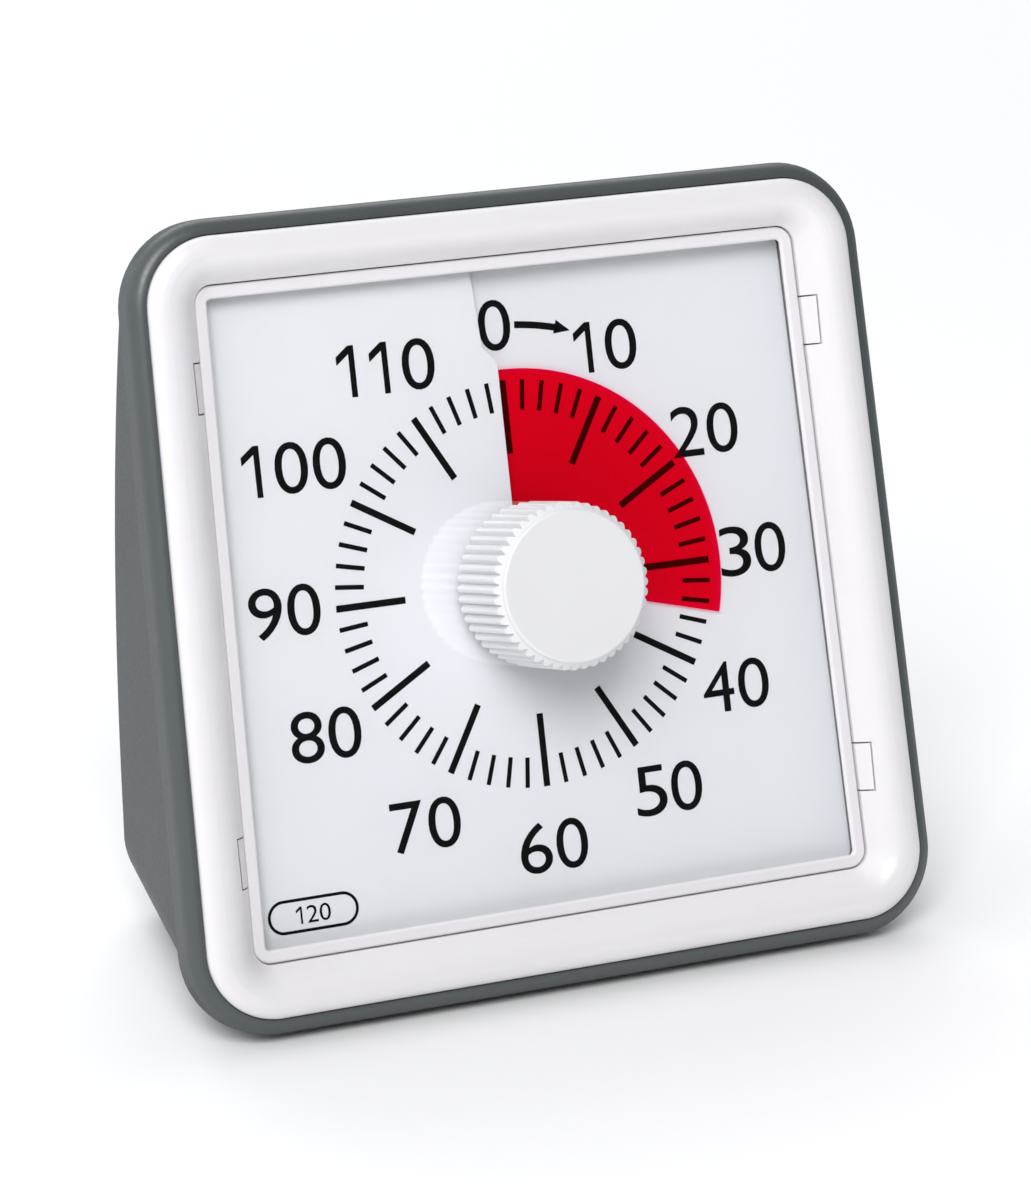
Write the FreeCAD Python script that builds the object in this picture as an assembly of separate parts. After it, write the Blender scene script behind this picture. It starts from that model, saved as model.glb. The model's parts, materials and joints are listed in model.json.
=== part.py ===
import FreeCAD, Part
import math
import os
from FreeCAD import Vector

# Visual countdown timer: a wedge-shaped desk timer with a red disc that shows the minutes left.
# Lengths are millimetres. Every piece is drawn in the dial's own frame: X to the right, Y up the dial,
# Z out of the dial, with the origin at the dial's centre on the card. place() then leans the dial back
# and stands the timer on its feet, with +Z up and the front towards -Y.

# Stance and overall form
tilt = 15.3                 # lean of the dial from upright, degrees
dial_height = 39.1          # dial centre above the table, up to the dial's own plane
rear_reach = 26.0           # rear wall behind the dial centre, measured level
rear_straight_top = -25.0   # the rear wall is upright below this height from the dial centre
rear_radius = 128.0         # the rear wall then curves forward on this radius
side_lean = 8.7             # the side walls draw in towards the rear by this angle, degrees
outline_taper = 0.0205      # half-width lost per mm of height up the dial
rear_round = 3.0            # rounding of the rear edges

# Front outline, from the dial centre to the white bezel's outer edge
bezel_half = 38.35
bezel_top = 37.7
bezel_corner = 7.0
rim_lift = 0.23             # the rim's lowest edge clears the table by this much

# Grey shell
wall = 2.0
rim_width = 1.7             # grey rim seen round the bezel
rim_gap = 0.1               # assembly gap between rim and bezel
rim_front = 4.0             # front of the rim above the card
rim_round = 1.5
rim_back_round = 0.5
crease = 0.8                # the rim stands proud of the side walls by this much
crease_z = -0.2             # where the rim meets the side walls
foot_stand = 1.3            # the feet hold the base wall this far off the table

# White bezel
bezel_crest = 5.2
bezel_shoulder = 4.1        # where the outer rounding starts
bezel_inner_edge = 2.7
bezel_slope = 2.2           # how late the front curves down to the window
crest_share = 0.36          # where the crest lies across the bezel's width
bezel_wall = 1.6
window_side = 5.25          # bezel width at the sides, top and bottom
window_top = 4.7
window_bottom = 5.1
window_corner = 1.9

# Clear lens
lens_gap = 0.1
lens_frame_width = 1.3
lens_frame_front = 2.45
lens_frame_round = 0.3
lens_seat = 0.7             # the lens runs this far under its frame
lens_front = 2.0
lens_thick = 0.8
lens_tab_y = 23.1
lens_tab_length = 4.8
lens_tab_reach = 1.0
lens_tab_root = 1.0         # the tab starts this far inside the window's edge
lens_tab_thick = 0.8
lens_tab_gap = 0.15

# Dial card and red disc: two split sheets that thread through each other
sheet_pitch = 0.9           # rise of each sheet over one turn
card_thick = 0.25
film_thick = 0.2
card_tuck = 0.8             # the card runs this far under the lens frame
card_hole = 5.7
cut_x = -0.6                # the cut lies just left of the zero line
cut_step_low = 22.35        # beyond the disc the cut steps to the left
cut_step_high = 24.0
cut_step_x = -2.05
cut_top_x = -2.95
cut_width = 0.1
disc_radius = 21.6
hub_radius = 5.0
hub_edge = 0.3              # the hub stands past the film by this much
rest_minutes = 35.0
full_minutes = 120.0

# Knob and spindle
knob_radius = 8.3
knob_face_radius = 7.6
knob_back = 2.3
knob_front = 12.6
knob_cap = 1.6
knob_wall = 1.5
knob_boss = 4.2
knurl_count = 48
knurl_depth = 0.55
spindle_radius = 2.0
spline_radius = 3.6
spline_flat = 2.9
slide_gap = 0.08
bearing_gap = 0.05

# Dial plate
plate_front = -1.25
plate_thick = 1.5
plate_inset = 1.8           # plate edge inside the bezel's outline at the sides
plate_top_inset = 6.2
plate_bottom_inset = 2.7
plate_corner = 5.0
card_ledge = 3.0
cup_radius = 6.8            # cup behind the card that the hub runs in
cup_floor = -3.0
cup_back = -5.0
plate_bolt_y = 15.0
bolt_boss_radius = 1.6
bolt_shift = 0.75           # the bezel's screw bosses stand this far inside the middle of its width

# Gear train
gear_module = 0.5
output_teeth = 48
transfer_pinion_teeth = 12
transfer_teeth = 42
rotor_teeth = 10
collar_front = -5.1         # the drive collar, wheel, spring and cam follow each other on the spindle
collar_radius = 4.0
wheel_front = -5.85
wheel_thick = 1.2
spring_front = -7.1
spring_back = -7.7
cam_back = -8.9
cam_radius = 3.8
transfer_front = -8.2
transfer_angle = -60.0
rotor_angle = 187.0
arbor_radius = 0.75
running_gap = 0.06
rotor_shaft = 0.6
magnet_radius = 2.6
stator_front = -4.8
stator_back = -5.6
stator_half = 6.6
coil_inset = 5.0            # coil's axis inside the case's outer wall
coil_pin = 0.3

# Movement case, circuit board and battery cradle
case_half = 22.0
case_top = 17.0
case_low = -27.0
case_depth = 12.2
case_wall = 1.2
board_front_depth = 13.0
board_thick = 1.0
board_half = 23.0
board_top = 15.5
board_gap = 0.45            # between the board's lower edge and the battery cradle
chip_rise = 6.5             # chip's centre above the board's lower edge
chip_radius = 6.0
chip_height = 1.6
cell_radius = 7.25
cell_length = 49.2
cell_nub_radius = 2.75
cell_nub = 1.3
cell_rise = 18.6            # cell's axis above the bezel's lower edge, up the dial
cell_depth = 21.0
cell_gap = 0.3
cradle_half = 30.0
cradle_wall = 1.0
contact_thick = 0.4
contact_width = 10.0
leaf_width = 6.0            # bowed spring leaf of the negative contact
leaf_thick = 0.35

# Screws
screw_radius = 0.95
screw_head_radius = 1.8
screw_head = 1.3
small_screw = 0.8           # ratio of the bezel's screws to the others
screw_gap = 0.1
well_wall = 1.2
upper_well = (25.0, 20.0)
lower_well = (27.5, -3.5)
boss_depth = 6.0
well_floor = 2.0

# Rear wall features, in the standing frame measured from the dial centre
door_half = 29.0
door_rise = 3.4             # door's lower edge above the base wall's underside
door_height = 19.0
door_thick = 1.0
door_gap = 0.15
door_lip = 1.4
door_tongue_x = 15.0
door_tongue_width = 6.0
door_tongue_drop = 1.6
grip_half = 7.0             # finger grip: half its width, middle below the door's top, size and depth
grip_reach = 2.6
grip_radius = 3.2
grip_depth = 0.9
switch_x = 12.0
switch_y = 4.0
switch_travel = 2.0
switch_half = 6.0
switch_stem = 1.2
switch_rear = -17.5         # rear face of the switch can, in the dial's frame
switch_nub = (5.0, 2.6, 0.8)
buzzer_x = -10.0
buzzer_y = 3.0
buzzer_radius = 6.0
buzzer_height = 4.5
sound_hole_radius = 0.7
foot_radius = 3.5
foot_pocket = 0.7
foot_x = 28.0
foot_front_y = -5.0
foot_rear_y = 18.0

# Worked-out values
lean = math.tan(math.radians(side_lean))
sin_t = math.sin(math.radians(tilt))
cos_t = math.cos(math.radians(tilt))
base_level = -(dial_height - foot_stand)
bezel_bottom = (dial_height - rim_lift) / cos_t - rim_width
coil_x = coil_inset - case_half
cell_y = cell_rise - bezel_bottom
board_low = cell_y + cell_radius + cell_gap + cradle_wall + board_gap
door_low = base_level + door_rise
door_high = door_low + door_height
plate_back = plate_front - plate_thick
body_grow = rim_width - crease
loft_depth = 46.0
bezel_outline = (bezel_half, bezel_top, bezel_bottom, bezel_corner)
window_outline = (bezel_half - window_side, bezel_top - window_top, bezel_bottom - window_bottom,
                  window_corner)


def grown(outline, by):
    """An outline pushed out by a distance, or drawn in when it is negative."""
    half, top, bottom, corner = outline
    return (half + by, top + by, bottom + by, max(corner + by, 0.3))


def between(a, b, t):
    """The outline a share t of the way from a to b."""
    return tuple(p + (q - p) * t for p, q in zip(a, b))


def outline_wire(outline, z):
    """A rounded trapezoid, wider at the bottom, as a closed wire at height z."""
    half, top, bottom, r = outline
    nx = 1.0 / math.hypot(1.0, outline_taper)
    ny = outline_taper * nx

    def centre(side, y):
        return Vector(side * (half - outline_taper * y - r / nx), y, z)

    corners = []
    for side, vertical in ((1, 1), (1, -1), (-1, -1), (-1, 1)):
        c = centre(side, (top - r) if vertical > 0 else (r - bottom))
        side_normal = Vector(side * nx, ny, 0)
        end_normal = Vector(0, vertical, 0)
        mid = (side_normal + end_normal).normalize()
        points = [c + end_normal * r, c + mid * r, c + side_normal * r]
        if side * vertical < 0:
            points.reverse()
        corners.append(points)
    edges = []
    for k, points in enumerate(corners):
        edges.append(Part.Arc(*points).toShape())
        edges.append(Part.LineSegment(points[2], corners[(k + 1) % 4][0]).toShape())
    return Part.Wire(edges)


def prism(outline, z0, z1):
    return Part.Face(outline_wire(outline, z0)).extrude(Vector(0, 0, z1 - z0))


def block(x0, x1, y0, y1, z0, z1):
    return Part.makeBox(x1 - x0, y1 - y0, z1 - z0, Vector(x0, y0, z0))


def rod(x, y, z0, z1, r):
    return Part.makeCylinder(r, z1 - z0, Vector(x, y, z0))


def ring(x, y, z0, z1, outer, inner):
    return rod(x, y, z0, z1, outer).cut(rod(x, y, z0 - 1, z1 + 1, inner))


def join(shapes):
    result = shapes[0]
    if len(shapes) > 1:
        result = result.fuse(shapes[1:])
    return result.removeSplitter()


def standing(shape):
    """From the standing frame about the dial centre into the dial's frame."""
    return shape.rotated(Vector(), Vector(1, 0, 0), tilt - 90)


def polygon(points):
    return Part.Face(Part.makePolygon([Vector(*p) for p in points + points[:1]]))


def rear_profile(inset):
    """Side view of the body in the standing frame, drawn in by a wall thickness."""
    back = rear_reach - inset
    low = base_level + inset
    radius = rear_radius - inset
    high = 45.0
    drop = high - rear_straight_top
    swing = math.asin(drop / radius)
    centre = Vector(0, back - radius, rear_straight_top)

    def on_arc(angle):
        return centre + Vector(0, radius * math.cos(angle), radius * math.sin(angle))

    front = -45.0
    start = Vector(0, back, rear_straight_top)
    end = on_arc(swing)
    edges = [
        Part.LineSegment(Vector(0, front, low), Vector(0, back, low)).toShape(),
        Part.LineSegment(Vector(0, back, low), start).toShape(),
        Part.Arc(start, on_arc(swing / 2), end).toShape(),
        Part.LineSegment(end, Vector(0, front, end.z)).toShape(),
        Part.LineSegment(Vector(0, front, end.z), Vector(0, front, low)).toShape(),
    ]
    return Part.Face(Part.Wire(edges))


def rear_at(height, inset=0.0):
    """How far back the rear wall lies at a height from the dial centre."""
    rise = max(height - rear_straight_top, 0.0)
    radius = rear_radius - inset
    return rear_reach - rear_radius + math.sqrt(radius ** 2 - rise ** 2)


def base_y(depth):
    """Where the base wall's outer face lies, up the dial, at a depth behind the card."""
    return (base_level + depth * sin_t) / cos_t


def body(inset):
    """The body behind the rim, drawn in by a wall thickness: a tapering loft cut to the side view."""
    half, top, _, corner = grown(bezel_outline, body_grow - inset)
    bottom = -base_y(-crease_z) - inset / cos_t
    front = (half, top, bottom, corner)
    rear = (half - lean * loft_depth, top, bottom - loft_depth * sin_t / cos_t, corner)
    loft = Part.makeLoft([outline_wire(front, crease_z), outline_wire(rear, crease_z - loft_depth)],
                         True, True)
    side = rear_profile(inset)
    side.translate(Vector(-bezel_half - 20, 0, 0))
    side = standing(side.extrude(Vector(2 * bezel_half + 40, 0, 0)))
    return loft.common(side)


def round_rear(shape, radius):
    """Round the edges where the rear wall meets the sides and the base."""
    chosen = []
    for edge in shape.Edges:
        middle = edge.valueAt((edge.FirstParameter + edge.LastParameter) / 2)
        level = middle.y * sin_t - middle.z * cos_t
        height = middle.y * cos_t + middle.z * sin_t
        on_rear = abs(level - rear_at(height)) < 0.05
        if on_rear and middle.z < crease_z - 1.0:
            chosen.append(edge)
    return shape.makeFillet(radius, chosen)


def along_rear(x0, x1, low, high, front, back):
    """A box in the standing frame about the dial centre, brought into the dial's frame."""
    return standing(block(x0, x1, front, back, low, high))


def wall_band(outer_inset, inner_inset, x0, x1, low, high):
    """A piece of skin that follows the rear wall between two depths below its outer face."""
    skin = rear_profile(outer_inset).extrude(Vector(2 * x1 + 20, 0, 0))
    skin.translate(Vector(-x1 - 10, 0, 0))
    core = rear_profile(inner_inset).extrude(Vector(2 * x1 + 40, 0, 0))
    core.translate(Vector(-x1 - 20, 0, 0))
    window = block(x0, x1, rear_reach - 10, rear_reach + 5, low, high)
    return standing(skin.cut(core).common(window))


def well_places():
    return [(side * x, y) for x, y in (upper_well, lower_well) for side in (-1, 1)]


def foot_places():
    return [(side * foot_x, y) for y in (foot_front_y, foot_rear_y) for side in (-1, 1)]


def sound_holes():
    """Seven holes in a rosette, drilled level through the rear wall behind the buzzer."""
    height = buzzer_y * cos_t - board_front_depth * sin_t
    pitch = 3.2 * sound_hole_radius
    places = [(0.0, 0.0)]
    places += [(pitch * math.cos(math.radians(60 * k)), pitch * math.sin(math.radians(60 * k)))
               for k in range(6)]
    holes = []
    for dx, dz in places:
        hole = Part.makeCylinder(sound_hole_radius, 12, Vector(buzzer_x + dx, rear_reach - 12, height + dz),
                                 Vector(0, 1, 0))
        hole.translate(Vector(0, 2 + rear_at(height) - rear_reach, 0))
        holes.append(standing(hole))
    return holes


def edges_at(shape, z):
    """The edges of a shape that lie in one plane across the dial's axis."""
    return [e for e in shape.Edges if abs(e.BoundBox.ZMin - z) < 0.02 and abs(e.BoundBox.ZMax - z) < 0.02]


def switch_slot():
    """The slot that the sound switch's nub slides in."""
    length, height, _ = switch_nub
    reach = switch_travel + length / 2 + 0.3
    half = height / 2 + 0.3
    return block(switch_x - reach, switch_x + reach, switch_y - half, switch_y + half, -40, -19)


def make_rear_shell():
    """Grey housing: tapering wedge body with a proud rim round its mouth, open at the front."""
    rim = prism(grown(bezel_outline, rim_width), crease_z, rim_front)
    rim = rim.makeFillet(rim_round, edges_at(rim, rim_front))
    rim = rim.makeFillet(rim_back_round, edges_at(rim, crease_z))
    outer = round_rear(body(0), rear_round)
    cavity = body(wall)
    mouth = prism(grown(bezel_outline, body_grow - wall), crease_z - 0.01, rim_front + 1)
    recess = prism(grown(bezel_outline, rim_gap), 0.0, rim_front + 1)
    shell = outer.fuse(rim).cut(cavity.fuse([mouth, recess]))
    wells = []
    cuts = []
    for x, y in well_places():
        wells.append(rod(x, y, -60, -boss_depth, screw_head_radius + screw_gap + well_wall).common(outer))
        cuts.append(rod(x, y, -61, -boss_depth + 1, screw_radius + screw_gap))
        cuts.append(rod(x, y, -61, -boss_depth - well_floor, screw_head_radius + screw_gap))
    cuts.append(wall_band(-1, door_thick, -door_half, door_half, door_low, door_high))
    cuts.append(along_rear(-door_half + door_lip, door_half - door_lip, door_low + door_lip,
                           door_high - door_lip, rear_reach - 6, rear_reach + 1))
    for x, y in foot_places():
        foot = Part.makeCylinder(foot_radius, foot_pocket + 1, Vector(x, y, base_level - 1))
        cuts.append(standing(foot))
    cuts.append(switch_slot())
    cuts += sound_holes()
    return shell.fuse(wells).cut(cuts)


def bezel_bolt_places():
    middle = bezel_half - window_side / 2 - bolt_shift
    return [(side * (middle - outline_taper * y), y) for y in (plate_bolt_y, -plate_bolt_y)
            for side in (-1, 1)]


def lens_tabs(gap, low, high):
    """Boxes of the lens frame's ears, two at each side, or of the slots for them with a gap all round."""
    half = lens_tab_length / 2 + gap
    boxes = []
    for side in (-1, 1):
        for y in (lens_tab_y, -lens_tab_y):
            edge = window_outline[0] - outline_taper * y
            inner = side * (edge - lens_tab_root)
            outer = side * (edge + lens_tab_reach + gap)
            boxes.append(block(min(inner, outer), max(inner, outer), y - half, y + half, low, high))
    return boxes


def bezel_form():
    """The bezel while still solid: a pillow-shaped front lofted from the outer edge down to the window."""
    rise = bezel_crest - bezel_shoulder
    fall = bezel_crest - bezel_inner_edge
    dome = [outline_wire(bezel_outline, 0.0)]
    for k in range(7):
        angle = math.radians(15.0 * k)
        station = between(bezel_outline, window_outline, crest_share * (1 - math.cos(angle)))
        dome.append(outline_wire(station, bezel_shoulder + rise * math.sin(angle)))
    bowl = []
    for k in range(9):
        share = k / 8.0
        station = between(bezel_outline, window_outline, crest_share + (1 - crest_share) * share)
        bowl.append(outline_wire(station, bezel_crest - fall * share ** bezel_slope))
    frame = Part.makeLoft(dome[:2], True, True).fuse(Part.makeLoft(dome[1:], True, False))
    return frame.cut(Part.makeLoft(bowl, True, False)).cut(prism(window_outline, -1, bezel_crest))


def make_front_bezel():
    """White frame, hollow behind, with bosses for its screws and slots for the lens frame's ears."""
    channel = prism(grown(bezel_outline, -bezel_wall), -1, bezel_inner_edge - 0.7)
    channel = channel.cut(prism(grown(window_outline, bezel_wall), -2, bezel_crest))
    frame = bezel_form().cut(channel)
    bosses = [rod(x, y, 0.0, bezel_inner_edge, bolt_boss_radius) for x, y in bezel_bolt_places()]
    holes = [rod(x, y, -1, bezel_inner_edge - 0.6, small_screw * screw_radius + 0.05)
             for x, y in bezel_bolt_places()]
    slots = lens_tabs(lens_tab_gap, lens_front - lens_tab_thick - lens_gap, bezel_crest)
    return frame.fuse(bosses).cut(holes + slots)


def make_clear_lens():
    """Clear window: a flat plate seated in the back of its frame, with a hole for the knob's spindle."""
    outline = grown(window_outline, -lens_gap - lens_frame_width + lens_seat)
    low = lens_front - lens_thick
    return prism(outline, low, lens_front).cut(rod(0, 0, low - 1, lens_front + 1, card_hole))


def make_lens_frame():
    """White snap-in frame that holds the lens: a raised, rounded strip with two ears at each side that
    fill the bezel's slots flush with its slope."""
    outline = grown(window_outline, -lens_gap)
    inner = grown(outline, -lens_frame_width)
    low = lens_front - lens_thick
    strip = prism(outline, low, lens_frame_front).cut(prism(inner, low - 1, lens_frame_front + 1))
    strip = strip.makeFillet(lens_frame_round, edges_at(strip, lens_frame_front))
    seat = prism(grown(inner, lens_seat + 0.05), low - 1, lens_front + 0.01)
    form = bezel_form()
    ears = lens_tabs(0, lens_front - lens_tab_thick, lens_front)
    ears += [box.common(form) for box in lens_tabs(0, lens_front - 0.1, bezel_crest)]
    return strip.fuse(ears).cut(seat).removeSplitter()


def helical_sheet(inner, outer, start, turn, z_start, thick):
    """A ring of sheet that climbs as it turns clockwise, from an angle measured from the top."""
    rails = []
    for radius in (inner, outer):
        helix = Part.makeHelix(sheet_pitch, sheet_pitch * turn / 360.0, radius)
        helix = helix.mirror(Vector(), Vector(1, 0, 0))
        helix.rotate(Vector(), Vector(0, 0, 1), -90 - start)
        rails.append(helix.Edges[0])
    sheet = Part.makeRuledSurface(rails[0], rails[1])
    sheet.translate(Vector(0, 0, z_start - thick / 2))
    return sheet.extrude(Vector(0, 0, thick))


def rest_turn():
    """The angle that the knob is turned to at rest, clockwise from zero."""
    return 360.0 * rest_minutes / full_minutes


def film_start():
    """Height of the film's leading edge at rest, half a pitch below the card there."""
    return -sheet_pitch + sheet_pitch * rest_minutes / full_minutes


def film(inner, outer):
    slit = 0.4
    return helical_sheet(inner, outer, rest_turn() + slit, 360 - 2 * slit, film_start(), film_thick)


def cut_path(shift):
    """The cut's line up the card, from the centre to past the card's top."""
    return [(cut_x + shift, 0), (cut_x + shift, cut_step_low), (cut_step_x + shift, cut_step_high),
            (cut_top_x + shift, bezel_top)]


def card_outline():
    return grown(window_outline, card_tuck - lens_gap - lens_frame_width)


def make_dial_card():
    """White card: a split sheet that climbs one pitch clockwise from the cut, so its left side of the
    cut lies over the film and its right side under it."""
    far = 2 * bezel_half
    lap = 20.0
    right = helical_sheet(card_hole, far, -lap, 180 + lap, -sheet_pitch / 2 - sheet_pitch * lap / 360,
                          card_thick)
    left = helical_sheet(card_hole, far, 180, 180 + lap, 0, card_thick)
    path = [(x, y, -5) for x, y in cut_path(0)]
    beyond = polygon([(-far, 0, -5)] + path + [(-far, bezel_top, -5)]).extrude(Vector(0, 0, 10))
    path = [(x, y, -5) for x, y in cut_path(-cut_width)]
    hither = polygon([(far, 0, -5)] + path + [(far, bezel_top, -5)]).extrude(Vector(0, 0, 10))
    card = right.cut(beyond).fuse(left.cut(hither))
    return card.common(prism(card_outline(), -5, 5)).removeSplitter()


def make_red_disc():
    """Red film: one turn of a shallow helicoid. It starts at the minutes set, runs under the card to the
    cut, and lies over the card from there back to its start."""
    return film(hub_radius - hub_edge, disc_radius)


def spline(gap, z0, z1):
    """The spindle's driving section: round with two flats."""
    flat = spline_flat + gap
    return rod(0, 0, z0, z1, spline_radius + gap).common(
        block(-spline_radius - 1, spline_radius + 1, -flat, flat, z0, z1))


def make_disc_hub():
    """Collar that carries the film. It slides on the spindle's flats as the film threads the cut."""
    low = film_start() - film_thick / 2 - hub_edge
    high = film_start() + sheet_pitch + film_thick / 2 + hub_edge
    return rod(0, 0, low, high, hub_radius).cut([spline(slide_gap, low - 1, high + 1),
                                                 film(hub_radius - hub_edge, hub_radius + 1)])


def knurled(outer, depth, count, z0, z1):
    """A cylinder with straight ridges along it."""
    points = []
    for k in range(count):
        for share, radius in ((0.0, outer - depth), (0.28, outer - 0.15 * depth), (0.5, outer),
                              (0.72, outer - 0.15 * depth)):
            angle = 2 * math.pi * (k + share) / count
            points.append((radius * math.cos(angle), radius * math.sin(angle), z0))
    return polygon(points).extrude(Vector(0, 0, z1 - z0))


def make_knob():
    """White grip: knurled skirt, plain bevelled face, hollow behind round a boss for the spindle."""
    bevel = knob_radius - knob_face_radius
    skirt = knurled(knob_radius, knurl_depth, knurl_count, knob_back, knob_front - 0.4)
    lathe = Part.makeCylinder(knob_radius + 1, knob_front - 0.4 - bevel - knob_back, Vector(0, 0, knob_back))
    bevelled = Part.makeCone(knob_radius, knob_face_radius, bevel, Vector(0, 0, knob_front - 0.4 - bevel))
    skirt = skirt.common(lathe.fuse(bevelled))
    face = rod(0, 0, knob_front - 2, knob_front, knob_face_radius)
    face = face.makeFillet(0.35, edges_at(face, knob_front))
    inner = knob_radius - knurl_depth - knob_wall
    pocket = ring(0, 0, knob_back - 1, knob_front - knob_cap, inner, knob_boss)
    return skirt.fuse(face).cut([pocket, rod(0, 0, knob_back - 1, spindle_front(), spindle_radius)])


def spindle_front():
    return knob_front - knob_cap - 2.0


def make_knob_spindle():
    """Steel spindle: driving flats behind the knob, plain journal, and a thin pivot at the rear."""
    shaft = rod(0, 0, cam_back - 0.4, spindle_front(), spindle_radius)
    pivot = rod(0, 0, -case_depth, cam_back, spindle_radius / 2)
    return join([shaft, pivot, spline(0, cup_floor + 0.1, knob_back)])


def plate_outline():
    return (bezel_half - plate_inset, bezel_top - plate_top_inset, bezel_bottom - plate_bottom_inset,
            plate_corner)


def case_bolt_places():
    ear = case_half + 2.6
    return [(side * ear, y) for y in (6.0, -17.0) for side in (-1, 1)]


def make_dial_plate():
    """White mounting plate behind the card: helical ledge for the card, cup and bearing for the hub and
    spindle, and bosses for the shell's screws, the bezel's screws and the gear arbor."""
    plate = prism(plate_outline(), plate_back, plate_front)
    solids = [plate]
    ledge = prism(card_outline(), plate_front - 0.1, sheet_pitch)
    ledge = ledge.common(prism(plate_outline(), -5, 5)).cut(prism(grown(card_outline(), -card_ledge), -5, 5))
    lift = 3.0
    base = lift / 2 - card_thick / 2
    ledge = ledge.cut([helical_sheet(1, 60, 0, 180, base - sheet_pitch / 2, lift),
                       helical_sheet(1, 60, 180, 180, base, lift),
                       block(cut_top_x - 1, 0, cut_step_low, bezel_top, -0.65, 5)])
    solids.append(ledge)
    solids.append(rod(0, 0, cup_back, plate_front - 0.1, cup_radius))
    for x, y in well_places():
        solids.append(rod(x, y, -boss_depth + 0.05, plate_back + 0.1, screw_radius + 1.6))
    for x, y in bezel_bolt_places():
        solids.append(rod(x, y, plate_back, -0.02, bolt_boss_radius))
    tx, ty = transfer_place()
    solids.append(rod(tx, ty, cup_back, plate_back + 0.1, arbor_radius + 1.2))
    rx, ry = rotor_place()
    solids.append(rod(rx, ry, -3.6, plate_back + 0.1, 1.6))
    cuts = [rod(0, 0, cup_floor, 2, card_hole), rod(0, 0, -6, 0, spindle_radius + bearing_gap)]
    cuts += [rod(x, y, -7, plate_front + 0.02, screw_radius + 0.05) for x, y in well_places()]
    cuts += [rod(x, y, -7, 2, small_screw * screw_radius + screw_gap) for x, y in bezel_bolt_places()]
    cuts += [rod(x, y, -7, plate_front - 0.2, screw_radius + 0.05) for x, y in case_bolt_places()]
    cuts.append(rod(tx, ty, -7, plate_back - 0.2, arbor_radius))
    cuts.append(rod(rx, ry, -7, plate_back - 0.1, rotor_shaft + bearing_gap))
    return join(solids).cut(cuts)


def gear(teeth, z0, z1, x, y, phase):
    """A spur wheel with plain straight-sided teeth, slackened so that a pair runs freely."""
    pitch_radius = gear_module * teeth / 2.0
    tip = pitch_radius + 0.9 * gear_module
    root = pitch_radius - 1.2 * gear_module
    step = 360.0 / teeth
    points = []
    for k in range(teeth):
        for share, radius in ((-0.31, root), (-0.11, tip), (0.11, tip), (0.31, root)):
            angle = math.radians(phase + (k + share) * step)
            points.append((x + radius * math.cos(angle), y + radius * math.sin(angle), z0))
    return polygon(points).extrude(Vector(0, 0, z1 - z0))


def transfer_place():
    reach = gear_module * (output_teeth + transfer_pinion_teeth) / 2.0
    angle = math.radians(transfer_angle)
    return reach * math.cos(angle), reach * math.sin(angle)


def rotor_place():
    reach = gear_module * (transfer_teeth + rotor_teeth) / 2.0
    angle = math.radians(rotor_angle)
    x, y = transfer_place()
    return x + reach * math.cos(angle), y + reach * math.sin(angle)


def make_output_wheel():
    """Brass wheel that turns the spindle once in two hours, through the friction spring."""
    z1 = wheel_front
    z0 = wheel_front - wheel_thick
    wheel = gear(output_teeth, z0, z1, 0, 0, transfer_angle)
    cuts = [rod(0, 0, z0 - 1, z1 + 1, spindle_radius + running_gap)]
    reach = (collar_radius + gear_module * output_teeth / 2 - 2) / 2 + 0.4
    cuts += [rod(reach * math.cos(a), reach * math.sin(a), z0 - 1, z1 + 1, 1.9)
             for a in (math.pi * k / 3 for k in range(6))]
    return wheel.cut(cuts)


def make_drive_collar():
    """Collar pressed on the spindle in front of the wheel, its back face the friction face."""
    return ring(0, 0, wheel_front + 0.05, collar_front, collar_radius, spindle_radius)


def make_clutch_spring():
    """Dished spring washer that presses the wheel against the collar."""
    outer = Part.makeCone(spindle_radius + 1.9, spindle_radius + 0.8, spring_front - spring_back - 0.2,
                          Vector(0, 0, spring_back))
    hollow = Part.makeCone(spindle_radius + 1.9, spindle_radius + 0.8, spring_front - spring_back - 0.2,
                           Vector(0, 0, spring_back - 0.3))
    dish = outer.cut(hollow)
    rim = ring(0, 0, spring_front - 0.3, spring_front, spindle_radius + 1.4, spindle_radius + 0.1)
    return join([dish, rim]).cut(rod(0, 0, spring_back - 1, spring_front + 1, spindle_radius + 0.1))


def make_zero_cam():
    """Cam pressed on the spindle behind the spring, with a notch that passes the contact at zero."""
    cam = ring(0, 0, cam_back, spring_back - 0.05, cam_radius, spindle_radius)
    angle = math.radians(90 - rest_turn())
    return cam.cut(rod(cam_radius * math.cos(angle), cam_radius * math.sin(angle), cam_back - 1,
                       spring_back + 1, 0.8))


def make_transfer_wheel():
    """Compound wheel: pinion in mesh with the output wheel, larger wheel in mesh with the rotor."""
    x, y = transfer_place()
    half_tooth = 180.0 / transfer_pinion_teeth
    pinion = gear(transfer_pinion_teeth, transfer_front - 0.1, wheel_front + 0.3, x, y,
                  180 + transfer_angle + half_tooth)
    wheel = gear(transfer_teeth, transfer_front - 1.0, transfer_front, x, y, rotor_angle)
    hub = rod(x, y, transfer_front - 1.6, transfer_front, 2.0)
    return join([pinion, wheel, hub]).cut(rod(x, y, -12, -4, arbor_radius + running_gap))


def make_transfer_arbor():
    x, y = transfer_place()
    return rod(x, y, -case_depth + 0.2, plate_back - 0.2, arbor_radius)


def make_motor_rotor():
    """Stepping motor rotor: ring magnet and pinion on one thin shaft."""
    x, y = rotor_place()
    half_tooth = 180.0 / rotor_teeth
    shaft = rod(x, y, -case_depth + 0.1, plate_back - 0.2, rotor_shaft)
    magnet = rod(x, y, stator_back - 0.3, stator_front + 0.5, magnet_radius)
    pinion = gear(rotor_teeth, transfer_front - 1.4, transfer_front + 0.3, x, y,
                  rotor_angle + 180 + half_tooth)
    return join([shaft, magnet, pinion])


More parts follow.
